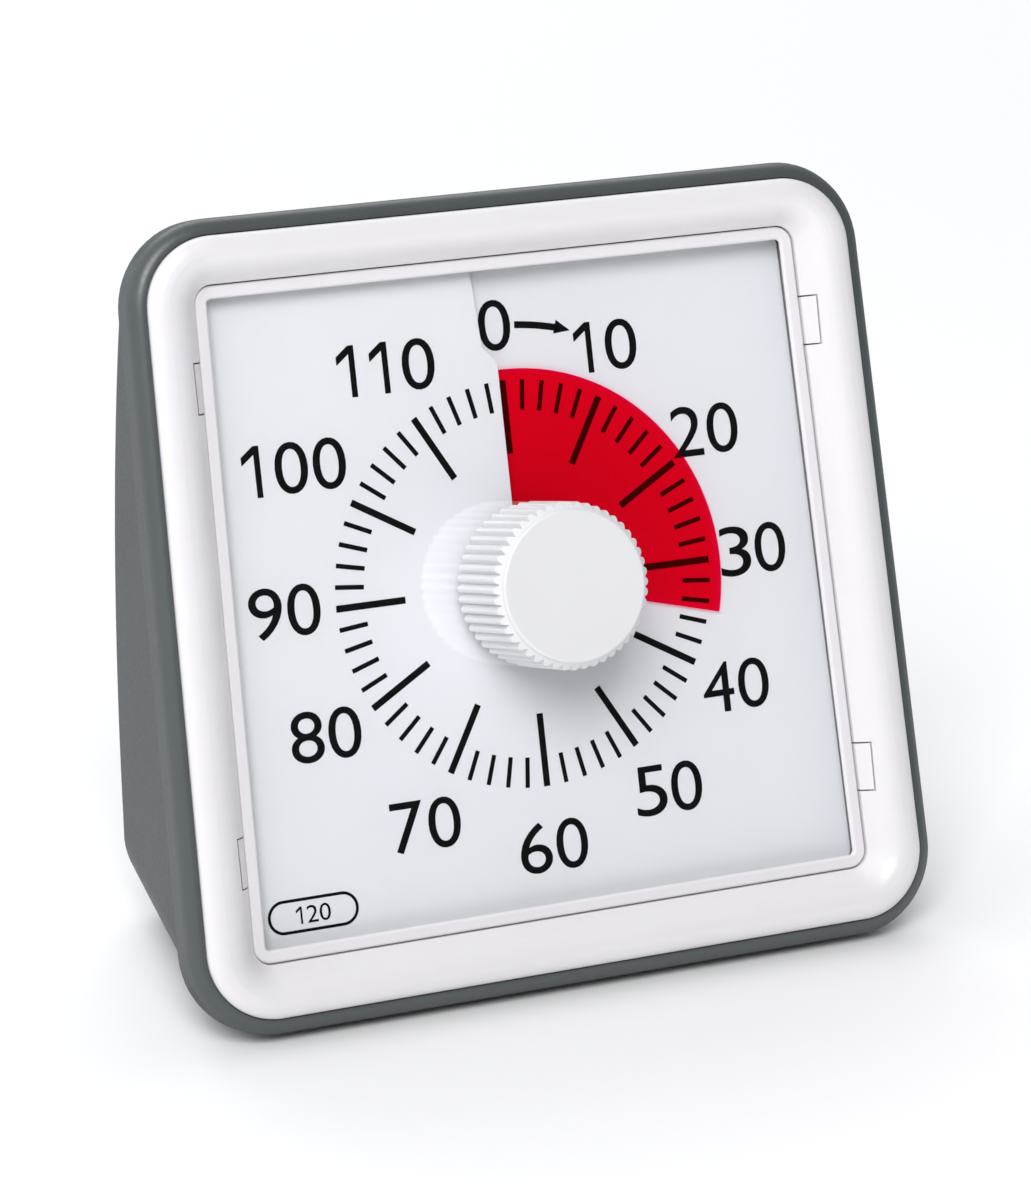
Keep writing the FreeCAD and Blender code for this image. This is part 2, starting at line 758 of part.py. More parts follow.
def make_motor_stator():
    """Laminated frame: a block round the rotor and a yoke that passes through the coil."""
    x, y = rotor_place()
    high, low = y + stator_half, y - stator_half
    frame = block(coil_x - 1, x + 5.1, low, high, stator_back, stator_front)
    gap = block(coil_x + 1, x - 5.1, low + 2, high - 2, stator_back - 1, stator_front + 1)
    notches = [rod(x + d, y - d, stator_back - 1, stator_front + 1, 0.5) for d in (-2.2, 2.2)]
    return frame.cut([gap, rod(x, y, stator_back - 1, stator_front + 1, magnet_radius + 0.5)] + notches)


def make_motor_coil():
    """Copper winding on a flanged bobbin over the yoke, with two pins back to the circuit board."""
    x, y = rotor_place()
    z = (stator_front + stator_back) / 2 - 0.2
    high, low = y + stator_half - 2.1, y - stator_half + 2.1
    parts = [Part.makeCylinder(2.2, high - low, Vector(coil_x, low, z), Vector(0, 1, 0))]
    for y0, y1 in ((low, low + 0.8), (high - 1.4, high)):
        parts.append(block(coil_x - 2.5, coil_x + 2.5, y0, y1, z - 2.5, z + 2.5))
    for side in (-1, 1):
        parts.append(rod(coil_x + side * 1.9, high - 0.7, -board_front_depth, z, coil_pin))
    return join(parts).cut(block(coil_x - 1.03, coil_x + 1.03, low - 1, high + 1, stator_back - 0.03,
                                 stator_front + 0.03))


def wall_depth(y, inset):
    """Depth behind the card, along the dial's axis, of the rear wall at a height up the dial."""
    depth = 0.0
    for _ in range(40):
        height = y * cos_t - depth * sin_t
        depth = (rear_at(height, inset) - y * sin_t) / cos_t
    return depth


def cell_rod(r, x0, x1):
    return Part.makeCylinder(r, x1 - x0, Vector(x0, cell_y, -cell_depth), Vector(1, 0, 0))


def board_bolt_places():
    return [(side * (case_half - 3.0), case_top - 4.5) for side in (-1, 1)]


def make_movement_case():
    """Black moulding behind the dial plate: an open box round the gear train with the rear bearings, ears
    for its screws, standoffs for the circuit board and an open-backed cradle for the battery."""
    floor = -case_depth + case_wall
    front = plate_back - 0.02
    box = block(-case_half, case_half, case_low, case_top, -case_depth, front)
    box = box.cut(block(-case_half + case_wall, case_half - case_wall, case_low + case_wall,
                        case_top - case_wall, floor, 0))
    solids = [box]
    for x, y in case_bolt_places():
        side = math.copysign(1.0, x)
        inner = side * (case_half - 0.3)
        ear = block(min(x, inner), max(x, inner), y - 2.4, y + 2.4, plate_back - 1.5, front)
        solids += [ear, rod(x, y, plate_back - 1.5, front, 2.4)]
    for x, y in board_bolt_places():
        solids.append(rod(x, y, -board_front_depth, floor + 1.5, 2.0))
    tx, ty = transfer_place()
    rx, ry = rotor_place()
    solids += [rod(0, 0, floor - 0.1, floor + 1.2, 2.6), rod(tx, ty, floor - 0.1, floor + 1.0, 1.9),
               rod(rx, ry, floor - 0.1, floor + 0.8, 1.6)]
    half = cell_length / 2 + cell_nub + 2.0
    seat = cell_radius + cell_gap
    cradle = block(-cradle_half, cradle_half, cell_y - seat - cradle_wall, cell_y + seat + cradle_wall,
                   -cell_depth, -case_depth + 0.1)
    end = block(-cradle_half, cradle_half, cell_y - seat - cradle_wall, cell_y + seat + cradle_wall,
                -cell_depth - 5.0, -cell_depth + 0.1)
    end = end.cut(block(-half - cradle_wall, half + cradle_wall, -60, 60, -60, 0))
    solids += [cradle, end]
    inside = cell_rod(seat, -half, half)
    mouth = block(-half, half, cell_y - seat, cell_y + seat, -cell_depth - 6, -cell_depth)
    cuts = [inside, mouth]
    for side in (-1, 1):
        outer = side * (half + cradle_wall)
        cuts.append(block(min(side * half, outer), max(side * half, outer), cell_y - contact_width / 2 - 0.1,
                          cell_y + seat + cradle_wall + 1, -cell_depth - 6, -cell_depth + 6))
    cuts.append(rod(0, 0, -case_depth - 1, floor + 2, spindle_radius / 2 + bearing_gap))
    cuts.append(rod(tx, ty, -case_depth + 0.2, floor + 2, arbor_radius))
    cuts.append(rod(rx, ry, -case_depth + 0.1, floor + 2, rotor_shaft + bearing_gap))
    for side in (-1, 1):
        cuts.append(rod(coil_x + side * 1.9, ry + stator_half - 2.8, -14, floor + 1, coil_pin + 0.1))
    cuts += [rod(x, y, plate_back - 2, front + 1, screw_radius + screw_gap) for x, y in case_bolt_places()]
    cuts += [rod(x, y, -board_front_depth - 1, floor + 1.0, screw_radius + 0.05)
             for x, y in board_bolt_places()]
    return join(solids).cut(cuts)


def make_circuit_board():
    """Green board behind the gear case, notched for the shell's screw wells and drilled for its screws."""
    board = block(-board_half, board_half, board_low, board_top, -board_front_depth - board_thick,
                  -board_front_depth - 0.02)
    board = board.makeFillet(1.0, [e for e in board.Edges if e.BoundBox.ZLength > 0.9
                                   and e.BoundBox.XLength < 0.1])
    cuts = [rod(x, y, -20, 0, screw_radius + screw_gap) for x, y in board_bolt_places()]
    cuts += [rod(x, y, -20, 0, screw_head_radius + screw_gap + well_wall + 0.4) for x, y in well_places()]
    return board.cut(cuts)


def make_control_chip():
    """Black blob of resin over the timing circuit, on the board's rear face."""
    back = -board_front_depth - board_thick - 0.02
    y = board_low + chip_rise
    dome = Part.makeSphere(chip_radius, Vector(0, y, back + chip_radius - chip_height))
    return dome.common(block(-chip_radius, chip_radius, y - chip_radius, y + chip_radius,
                             back - chip_radius, back))


def make_buzzer():
    """Black sounder can on the board, with its sound port at the rear."""
    back = -board_front_depth - board_thick - 0.02
    can = rod(buzzer_x, buzzer_y, back - buzzer_height, back, buzzer_radius)
    can = can.makeChamfer(0.5, edges_at(can, back - buzzer_height))
    return can.cut(rod(buzzer_x, buzzer_y, back - buzzer_height - 1, back - buzzer_height + 0.8, 1.2))


def make_switch_body():
    """Steel can of the sound switch, soldered to the board, with a slot for its slider."""
    can = block(switch_x - switch_half, switch_x + switch_half, switch_y - 2.6, switch_y + 2.6, switch_rear,
                -board_front_depth - board_thick - 0.02)
    reach = switch_travel + switch_stem + 0.1
    return can.cut(block(switch_x - reach, switch_x + reach, switch_y - 1, switch_y + 1, switch_rear - 1,
                         switch_rear + 2.2))


def make_sound_switch():
    """Slider: stem in the switch, flange that follows the wall behind it, and a ribbed nub through the
    shell's slot that ends parallel to the wall."""
    length, height, stand = switch_nub
    middle = -wall_depth(switch_y, wall + 0.6)
    stem = block(switch_x - switch_stem, switch_x + switch_stem, switch_y - 0.9, switch_y + 0.9, middle,
                 switch_rear + 1.8)
    level = switch_y * cos_t + middle * sin_t
    flange = wall_band(wall + 0.2, wall + 1.0, switch_x - switch_half - 0.2, switch_x + switch_half + 0.2,
                       level - 3.0, level + 3.0)
    nub = block(switch_x - length / 2, switch_x + length / 2, switch_y - height / 2, switch_y + height / 2,
                2 * middle, middle)
    nub = nub.makeFillet(0.4, [e for e in nub.Edges if e.BoundBox.ZLength > 1])
    reach = rear_profile(-stand).extrude(Vector(2 * bezel_half, 0, 0))
    nub = nub.common(standing(reach))
    grooves = [wall_band(-stand - 1, 0.35 - stand, x - 0.25, x + 0.25, level - height, level + 2 * height)
               for x in (switch_x - 1.2, switch_x, switch_x + 1.2)]
    return join([stem, flange, nub]).cut(grooves)


def make_zero_contact():
    """Two spring leaves on a post beside the cam: the lower rides on the cam and drops into its notch at
    zero, which sounds the alarm."""
    thick = 0.25
    post_x = 9.0
    floor = -case_depth + case_wall
    z0, z1 = cam_back + 0.1, spring_back - 0.15
    low = cam_radius + 0.1
    post = block(post_x, post_x + 2.5, low - 1, low + 3.2, floor + 0.02, z1)
    lower = block(-3.0, post_x + 0.1, low, low + thick, z0, z1)
    upper = block(-2.0, post_x + 0.1, low + 1.6, low + 1.6 + thick, z0, z1)
    point = Part.makeCylinder(0.45, 0.9, Vector(-1.2, low + thick - 0.01, (z0 + z1) / 2), Vector(0, 1, 0))
    return join([post, lower, upper, point])


def make_battery_cell():
    """One R6 (AA) cell, positive nub to the right."""
    half = cell_length / 2
    can = cell_rod(cell_radius, -half, half)
    can = can.makeChamfer(0.4, [e for e in can.Edges if e.BoundBox.XLength < 0.01])
    return join([can, cell_rod(cell_nub_radius, half - 0.1, half + cell_nub)])


def make_contact(side):
    """Nickel-plated strip in a cradle end, with a tail that is soldered to the circuit board."""
    half = cell_length / 2 + cell_nub + 2.0
    x0 = side * (half + 0.3)
    x1 = side * (half + 0.3 + contact_thick)
    low_x, high_x = min(x0, x1), max(x0, x1)
    top = cell_y + cell_radius + cell_gap + cradle_wall + 0.1
    plate = block(low_x, high_x, cell_y - contact_width / 2, top + contact_thick, -cell_depth - 4.5,
                  -cell_depth + 5.5)
    tail_in = side * (board_half - 3.5)
    back = -board_front_depth - board_thick
    arm = block(min(tail_in, x1), max(tail_in, x1), top, top + contact_thick, -cell_depth + 2.0, back - 0.02)
    foot = block(min(tail_in, tail_in + side * 2.5), max(tail_in, tail_in + side * 2.5), top,
                 board_low + 2.2, back - 0.02 - contact_thick, back - 0.02)
    pieces = [plate, arm, foot]
    if side > 0:
        tip = cell_length / 2 + cell_nub + 0.05
        pieces.append(cell_rod(2.0, tip, x0))
    else:
        tip = -cell_length / 2 - 0.05 - leaf_thick
        turns = [(high_x - 0.1, 4.0), (tip, 0.0), (high_x + 1.0, -4.0)]
        points = [(x, cell_y - leaf_width / 2, -cell_depth + z) for x, z in turns]
        back_points = [(x + leaf_thick, y, z) for x, y, z in reversed(points)]
        pieces.append(polygon(points + back_points).extrude(Vector(0, leaf_width, 0)))
    return join(pieces)


def door_panel_box(gap):
    return (-door_half + gap, door_half - gap, door_low + gap, door_high - gap)


def make_battery_door():
    """Grey door flush with the rear wall: thin panel that follows the wall, ribs inside, two tongues
    behind the wall's lower edge, a latch at the top and a shallow finger grip."""
    x0, x1, low, high = door_panel_box(door_gap)
    panel = wall_band(0, door_thick - 0.05, x0, x1, low, high)
    inside = rear_reach - door_thick
    floor = door_low + door_lip
    top = door_high - door_lip
    sweep = Part.makeCylinder(math.hypot(wall, door_lip - door_gap) + 0.15, 2 * door_half,
                              Vector(-door_half, rear_reach, low), Vector(1, 0, 0))
    sweep = standing(sweep)
    pieces = [panel]
    for x in (-door_tongue_x, door_tongue_x):
        half = door_tongue_width / 2
        pieces.append(along_rear(x - half, x + half, floor + door_gap, floor + 1.8, inside - 2.3,
                                 inside + 0.2))
        tongue = along_rear(x - half, x + half, floor - door_tongue_drop, floor + 1.8, inside - 2.3,
                            inside - wall + door_thick - 0.15)
        pieces.append(tongue.cut(sweep))
    for x in (-22.0, 22.0):
        pieces.append(along_rear(x - 0.5, x + 0.5, floor + door_gap, top - door_gap, inside - 1.0,
                                 inside + 0.2))
    pieces.append(along_rear(-4, 4, top - 1.5, top - door_gap, inside - 2.0, inside - 0.1))
    pieces.append(along_rear(-grip_half - 1, grip_half + 1, high - 2 * grip_reach - 1, high - door_lip,
                             inside - 0.8, inside + 0.1))
    grip = Part.makeCylinder(grip_radius, 2 * grip_half, Vector(-grip_half, rear_at(high - grip_reach)
                                                                + grip_radius - grip_depth, high - grip_reach),
                             Vector(1, 0, 0))
    return join(pieces).cut(standing(grip))


def make_screws(places, seat, tip, ratio=1.0):
    """Pan-head screws driven from behind: head behind the seat plane, shank forward to the tip."""
    head_radius = ratio * screw_head_radius
    back = seat - ratio * screw_head
    arm = 0.6 * head_radius
    screws = []
    for x, y in places:
        head = Part.makeCone(0.8 * head_radius, head_radius, 0.3, Vector(x, y, back))
        head = head.fuse([rod(x, y, back + 0.3, seat - 0.01, head_radius),
                          rod(x, y, seat - 0.2, tip, ratio * screw_radius)])
        cross = [block(x - arm, x + arm, y - 0.2, y + 0.2, back - 1, back + 0.5),
                 block(x - 0.2, x + 0.2, y - arm, y + arm, back - 1, back + 0.5)]
        screws.append(head.cut(cross).removeSplitter())
    return Part.makeCompound(screws)


def make_rubber_feet():
    feet = []
    for x, y in foot_places():
        foot = Part.makeCylinder(foot_radius - 0.05, foot_pocket + foot_stand,
                                 Vector(x, y, base_level - foot_stand))
        foot = foot.makeChamfer(0.4, edges_at(foot, base_level - foot_stand))
        feet.append(standing(foot))
    return Part.makeCompound(feet)


def place(shape):
    """Lean the dial back and stand the timer on the table."""
    return shape.rotated(Vector(), Vector(1, 0, 0), 90 - tilt)


def build():
    """Every piece by name, in the dial's frame."""
    upper = -boss_depth - well_floor
    return {
        "rear_shell": make_rear_shell(),
        "front_bezel": make_front_bezel(),
        "clear_lens": make_clear_lens(),
        "lens_frame": make_lens_frame(),
        "dial_card": make_dial_card(),
        "dial_plate": make_dial_plate(),
        "red_disc": make_red_disc(),
        "disc_hub": make_disc_hub(),
        "knob": make_knob(),
        "knob_spindle": make_knob_spindle(),
        "drive_collar": make_drive_collar(),
        "clutch_spring": make_clutch_spring(),
        "zero_cam": make_zero_cam(),
        "output_wheel": make_output_wheel(),
        "transfer_wheel": make_transfer_wheel(),
        "transfer_arbor": make_transfer_arbor(),
        "motor_rotor": make_motor_rotor(),
        "motor_stator": make_motor_stator(),
        "motor_coil": make_motor_coil(),
        "movement_case": make_movement_case(),
        "circuit_board": make_circuit_board(),
        "control_chip": make_control_chip(),
        "buzzer": make_buzzer(),
        "switch_body": make_switch_body(),
        "sound_switch": make_sound_switch(),
        "zero_contact": make_zero_contact(),
        "battery_cell": make_battery_cell(),
        "contact_positive": make_contact(1),
        "contact_negative": make_contact(-1),
        "battery_door": make_battery_door(),
        "shell_screws": make_screws(well_places(), upper, upper + 4.6),
        "bezel_screws": make_screws(bezel_bolt_places(), plate_back, 1.9, small_screw),
        "case_screws": make_screws(case_bolt_places(), plate_back - 1.5, plate_front - 0.3),
        "board_screws": make_screws(board_bolt_places(), -board_front_depth - board_thick, -case_depth + 1.6),
        "rubber_feet": make_rubber_feet(),
    }


def main():
    os.makedirs("parts", exist_ok=True)
    pieces = {name: place(shape) for name, shape in build().items()}
    front = min(lowest_y(pieces[name]) for name in ("knob", "rear_shell", "front_bezel"))
    shift = Vector(0, -(front + rear_reach) / 2, dial_height)
    for name, shape in pieces.items():
        shape.translate(shift)
        shape.exportStep("parts/" + name + ".step")
    print("pieces", len(pieces), "shift", round(shift.y, 4))


def lowest_y(shape):
    """The foremost reach of a piece, from points on its surface."""
    return min(point.y for point in shape.tessellate(0.02)[0])


main()
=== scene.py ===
import math
import json
import bpy
import bmesh
from mathutils import Matrix, Vector


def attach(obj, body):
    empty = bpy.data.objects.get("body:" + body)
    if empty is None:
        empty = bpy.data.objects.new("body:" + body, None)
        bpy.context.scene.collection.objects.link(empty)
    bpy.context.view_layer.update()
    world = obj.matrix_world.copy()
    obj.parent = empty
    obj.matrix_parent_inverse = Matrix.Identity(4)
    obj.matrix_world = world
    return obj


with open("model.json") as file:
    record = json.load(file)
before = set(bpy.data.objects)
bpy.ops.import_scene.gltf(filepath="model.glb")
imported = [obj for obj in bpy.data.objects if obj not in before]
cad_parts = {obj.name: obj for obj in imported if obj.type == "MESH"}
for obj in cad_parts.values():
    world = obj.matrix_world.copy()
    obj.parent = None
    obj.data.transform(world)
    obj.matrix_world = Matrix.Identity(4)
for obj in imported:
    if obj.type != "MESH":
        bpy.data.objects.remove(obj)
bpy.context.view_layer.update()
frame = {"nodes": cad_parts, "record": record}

# The dial's own frame, as the housing was drawn in it: millimetres, X right, Y up the dial, Z out of it
TILT = math.radians(15.3)
knob_joint = [joint for joint in frame["record"]["behaviour"]["joints"] if joint["name"] == "knob_turn"][0]
DIAL_CENTRE = Vector(knob_joint["pos_m"])
TO_ROW = (Matrix.Translation(DIAL_CENTRE) @ Matrix.Rotation(math.pi / 2 - TILT, 4, "X")
          @ Matrix.Scale(0.001, 4))

# The card, in millimetres: it climbs one pitch clockwise round the dial from the cut
UNIT = 20.5                     # outer radius of the tick ring, the measure of the whole print
CARD_PITCH = 0.9
CARD_TOP = -0.45 + 0.125        # the card's front surface just right of the cut
INK_LIFT = 0.02
CUT_X = -0.6                    # the cut runs up the card just left of zero, and steps left beyond the disc
CUT_STEP = (22.35, 24.0)        # heights where the step begins and ends
CUT_STEP_X = -2.05
CUT_TOP = (-2.95, 37.7)

# The ticks, in shares of UNIT: inner end and width, as all of them end at 1
TICKS = 60
MAJOR_EVERY = 5
MAJOR_TICK = (0.640, 0.034)
MINOR_TICK = (0.851, 0.023)

# The figures, in shares of UNIT
FIGURE_HIGH = 0.25
FIGURE_WIDE = 0.17
FIGURE_PEN = 0.03
FIGURE_STEP = 0.195             # from one figure's middle to the next
ONE_STEP = 0.17                 # and the same after a narrow 1
ONE_FLAG = (-0.26, -0.2)        # how far the flag of a 1 reaches left and down, in shares of its height

# The numerals' places on the dial's artwork, in its own steps, across from the left and down from the top
ART_MIDDLE = 784                # the knob's axis, both ways
ART_UNIT = 340.9                # steps in one UNIT
NUMERALS = {
    "0": (780, 351), "10": (977, 405), "20": (1143, 565), "30": (1209, 777), "40": (1151, 1003),
    "50": (1006, 1160), "60": (785, 1226), "70": (560, 1158), "80": (402, 986), "90": (354, 777),
    "100": (397, 545), "110": (575, 400),
}

# The turning arrow: degrees clockwise from zero, and shares of UNIT
ARROW_SHAFT = (4.25, 15.0)
ARROW_TIP = 17.75
ARROW_RADIUS = 1.266
ARROW_HALF_PEN = 0.017
ARROW_HEAD_LONG = 0.085
ARROW_HEAD_WIDE = 0.07

# The range badge, in shares of UNIT from the dial's middle
BADGE_SIDES = (-1.5175, -1.049)
BADGE_BELOW = (1.3525, 1.519)   # its top and its foot
BADGE_PEN = 0.015
BADGE_FIGURE_HIGH = 0.084
BADGE_ROUND = 0.496             # corner radius, as a share of the badge's height

# The finishes
CLOUD_MM = 14.0                 # how broad the soft clouds of tone in a moulding are
EDGE_ON = (0.4, 0.78)           # how slanted a face is where its gloss begins and ends its change
MARK_DEPTH_MM = 0.01            # depth of the fine marks in metal
FILM_BODY = 0.03                # share of the light that the red film scatters itself
WINDOW_FACES = 2.0              # the gloss of the window's back face is shown with its front face's
SLEEVE_SEAM = (0.0098, 0.0102)  # metres along the cell where its sleeve's two colours meet

# The studio: where it is dim, where a dark flag stands in for what the window mirrors, and how bright it is
DIM_SIDE = (0.6, -0.74, 0.3)
DIM_FROM_TO = (-0.2, 0.9)
STUDIO_GLOW = (1.04, 0.08)
FLAG_SIDE = (0.386, -0.905, 0.18)
FLAG_FROM_TO = (0.88, 0.985)
FLAG_SHADE = 0.1
FLOOR_HALF = 3.0
CAMERA_FROM_DIAL = (-0.17655, -0.39838, 0.13973)
CAMERA_DEGREES = (72.016, 0.0, -23.775)
CAMERA_LENS_MM = 136.9


def paint_colour(code, alpha=1.0):
    """An sRGB hex colour as linear red, green, blue and alpha."""
    channels = [int(code[k:k + 2], 16) / 255.0 for k in (1, 3, 5)]
    linear = [c / 12.92 if c <= 0.04045 else ((c + 0.055) / 1.055) ** 2.4 for c in channels]
    return (*linear, alpha)


def add(material, kind, sockets=None, **settings):
    """Adds a node to a material: settings go on the node, and sockets get a value or another socket."""
    node = material.node_tree.nodes.new(kind)
    for name, value in settings.items():
        setattr(node, name, value)
    for name, value in (sockets or {}).items():
        if isinstance(value, bpy.types.NodeSocket):
            material.node_tree.links.new(value, node.inputs[name])
        else:
            node.inputs[name].default_value = value
    return node


def blank(name):
    """A material with nothing in it but its output."""
    material = bpy.data.materials.new(name)
    material.use_nodes = True
    material.node_tree.nodes.clear()
    output = add(material, "ShaderNodeOutputMaterial")
    return material, output


def grain(material, size_mm, detail=3.0, roughness=0.6):
    """Noise over the object's own coordinates whose cells are about size_mm across."""
    place = add(material, "ShaderNodeTexCoord")
    return add(material, "ShaderNodeTexNoise", {"Vector": place.outputs["Object"], "Scale": 1000.0 / size_mm,
                                                "Detail": detail, "Roughness": roughness})


def ramp(material, factor, low, high, from_min=0.3, from_max=0.7):
    """Maps a factor's middle range onto low to high."""
    return add(material, "ShaderNodeMapRange", {"Value": factor, "From Min": from_min, "From Max": from_max,
                                                "To Min": low, "To Max": high})


def two_tones(material, factor, dark, light):
    """Mixes two colours by a factor."""
    tone = add(material, "ShaderNodeMix", {"Factor": factor}, data_type="RGBA")
    tone.inputs["A"].default_value = paint_colour(dark)
    tone.inputs["B"].default_value = paint_colour(light)
    return tone


def moulded(name, light, dark, roughness, spread, spark_mm, depth_mm, coat=0.0, gloss=0.5, edge_gloss=None):
    """Injection-moulded plastic: soft clouds of two near tones, and the fine spark texture of its mould.
    Its gloss can change to another where a face is seen edge-on."""
    material, output = blank(name)
    clouds = grain(material, CLOUD_MM, 2.0)
    tone = two_tones(material, clouds.outputs["Fac"], dark, light)
    spark = grain(material, spark_mm, 4.0)
    rough = ramp(material, spark.outputs["Fac"], roughness - spread, roughness + spread)
    bump = add(material, "ShaderNodeBump", {"Height": spark.outputs["Fac"], "Strength": 0.6,
                                            "Distance": depth_mm / 1000.0})
    shader = add(material, "ShaderNodeBsdfPrincipled",
                 {"Base Color": tone.outputs["Result"], "Roughness": rough.outputs["Result"],
                  "Normal": bump.outputs["Normal"], "IOR": 1.5, "Coat Weight": coat,
                  "Coat Roughness": 0.12, "Specular IOR Level": gloss})
    if edge_gloss is not None:
        slant = add(material, "ShaderNodeLayerWeight")
        fade = ramp(material, slant.outputs["Facing"], gloss, edge_gloss, *EDGE_ON)
        material.node_tree.links.new(fade.outputs["Result"], shader.inputs["Specular IOR Level"])
    material.node_tree.links.new(shader.outputs["BSDF"], output.inputs["Surface"])
    return material


def metal(name, light, dark, roughness, streak_mm, stretch):
    """Plated or turned metal: fine marks drawn out along one way, darker where they lie close."""
    material, output = blank(name)
    place = add(material, "ShaderNodeTexCoord")
    drawn = add(material, "ShaderNodeMapping", {"Vector": place.outputs["Object"], "Scale": stretch})
    marks = add(material, "ShaderNodeTexNoise", {"Vector": drawn.outputs["Vector"],
                                                 "Scale": 1000.0 / streak_mm, "Detail": 4.0})
    tone = two_tones(material, marks.outputs["Fac"], dark, light)
    rough = ramp(material, marks.outputs["Fac"], roughness * 0.75, roughness * 1.3)
    bump = add(material, "ShaderNodeBump", {"Height": marks.outputs["Fac"], "Strength": 0.4,
                                            "Distance": MARK_DEPTH_MM / 1000.0})
    shader = add(material, "ShaderNodeBsdfPrincipled",
                 {"Base Color": tone.outputs["Result"], "Metallic": 1.0,
                  "Roughness": rough.outputs["Result"], "Normal": bump.outputs["Normal"]})
    material.node_tree.links.new(shader.outputs["BSDF"], output.inputs["Surface"])
    return material


def clear_plastic(name, tint, smooth, rough):
    """Clear polished plastic: light passes, and the outer faces alone give back a Fresnel gloss. Faint
    wiping marks make the gloss uneven."""
    material, output = blank(name)
    marks = grain(material, 6.0, 6.0)
    spread = ramp(material, marks.outputs["Fac"], smooth, rough)
    fresnel = add(material, "ShaderNodeFresnel", {"IOR": 1.59})
    facing = add(material, "ShaderNodeNewGeometry")
    outer = add(material, "ShaderNodeMath", {0: 1.0, 1: facing.outputs["Backfacing"]}, operation="SUBTRACT")
    paired = add(material, "ShaderNodeMath", {0: outer.outputs[0], 1: WINDOW_FACES}, operation="MULTIPLY")
    share = add(material, "ShaderNodeMath", {0: fresnel.outputs[0], 1: paired.outputs[0]},
                operation="MULTIPLY")
    clear = add(material, "ShaderNodeBsdfTransparent", {"Color": paint_colour(tint)})
    gloss = add(material, "ShaderNodeBsdfAnisotropic", {"Color": paint_colour("#FFFFFF"),
                                                        "Roughness": spread.outputs["Result"]})
    both = add(material, "ShaderNodeMixShader", {0: share.outputs[0], 1: clear.outputs["BSDF"],
                                                 2: gloss.outputs["BSDF"]})
    material.node_tree.links.new(both.outputs["Shader"], output.inputs["Surface"])
    return material


def translucent_film():
    """Red film: most light passes, tinted on its way in and out, and a little scatters in the sheet."""
    material, output = blank("red_polypropylene_film")
    haze = grain(material, 3.0, 3.0)
    tone = two_tones(material, haze.outputs["Fac"], "#F00016", "#F8001A")
    through = add(material, "ShaderNodeBsdfTransparent", {"Color": paint_colour("#FF00A0")})
    body = add(material, "ShaderNodeBsdfPrincipled", {"Base Color": tone.outputs["Result"],
                                                      "Roughness": 0.4, "IOR": 1.49})
    both = add(material, "ShaderNodeMixShader", {0: FILM_BODY, 1: through.outputs["BSDF"],
                                                 2: body.outputs["BSDF"]})
    material.node_tree.links.new(both.outputs["Shader"], output.inputs["Surface"])
    return material


def cell_sleeve():
    """The battery's shrink sleeve: graphite, with a copper-coloured third at the plus end."""
    material, output = blank("printed_shrink_sleeve")
    place = add(material, "ShaderNodeTexCoord")
    along = add(material, "ShaderNodeSeparateXYZ", {"Vector": place.outputs["Object"]})
    band = ramp(material, along.outputs["X"], 0.0, 1.0, *SLEEVE_SEAM)
    tone = two_tones(material, band.outputs["Result"], "#26282B", "#B5743C")
    scuffs = grain(material, 0.8, 5.0)
    rough = ramp(material, scuffs.outputs["Fac"], 0.22, 0.36)
    shader = add(material, "ShaderNodeBsdfPrincipled", {"Base Color": tone.outputs["Result"], "Metallic": 0.35,
                                                        "Roughness": rough.outputs["Result"]})
    material.node_tree.links.new(shader.outputs["BSDF"], output.inputs["Surface"])
    return material


def dress(node, material):
    """Gives a piece of the frame its finish."""
    piece = frame["nodes"][node]
    piece.data.materials.clear()
    piece.data.materials.append(material)


def right_of_cut(x, y):
    """Whether a place on the card's upper half lies to the right of its cut."""
    low, high = CUT_STEP
    if y < low:
        edge = CUT_X
    elif y < high:
        edge = CUT_X + (CUT_STEP_X - CUT_X) * (y - low) / (high - low)
    else:
        edge = CUT_STEP_X + (CUT_TOP[0] - CUT_STEP_X) * (y - high) / (CUT_TOP[1] - high)
    return y > 0 and x > edge


def card_surface(x, y):
    """Height of the card's front surface at a place on the dial, in millimetres."""
    turn = math.atan2(x, y) % (2 * math.pi)
    if right_of_cut(x, y) and turn > math.pi:
        turn -= 2 * math.pi
    return CARD_TOP + CARD_PITCH * turn / (2 * math.pi)


def lay_on_card(mesh):
    """Moves every point of a flat mesh, drawn in millimetres on the dial, onto the card, then into place."""
    for vertex in mesh.vertices:
        x, y, lift = vertex.co
        vertex.co = (x, y, card_surface(x, y) + INK_LIFT + lift)
    mesh.transform(TO_ROW)


def flat_piece(name, form):
    """A mesh drawn in millimetres on the dial, laid on the card and taken into place."""
    mesh = bpy.data.meshes.new(name)
    form.to_mesh(mesh)
    form.free()
    lay_on_card(mesh)
    return mesh


def print_on_card(name, mesh):
    """Makes a finished mesh a printed piece of the timer, which stays with the housing."""
    mesh.materials.clear()
    mesh.materials.append(print_ink)
    piece = bpy.data.objects.new(name, mesh)
    bpy.context.scene.collection.objects.link(piece)
    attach(piece, "housing")


def printed_ticks():
    """Sixty strokes round the dial, every fifth one longer and thicker."""
    form = bmesh.new()
    for k in range(TICKS):
        inner, width = MAJOR_TICK if k % MAJOR_EVERY == 0 else MINOR_TICK
        length = 1.0 - inner
        turn = Matrix.Rotation(-2 * math.pi * k / TICKS, 4, "Z")
        place = turn @ Matrix.Translation((0, UNIT * (1.0 + inner) / 2, 0)) @ Matrix.Diagonal(
            (UNIT * width / 2, UNIT * length / 2, 1, 1))
        bmesh.ops.create_grid(form, x_segments=1, y_segments=6, size=1.0, matrix=place)
    return flat_piece("dial_ticks", form)


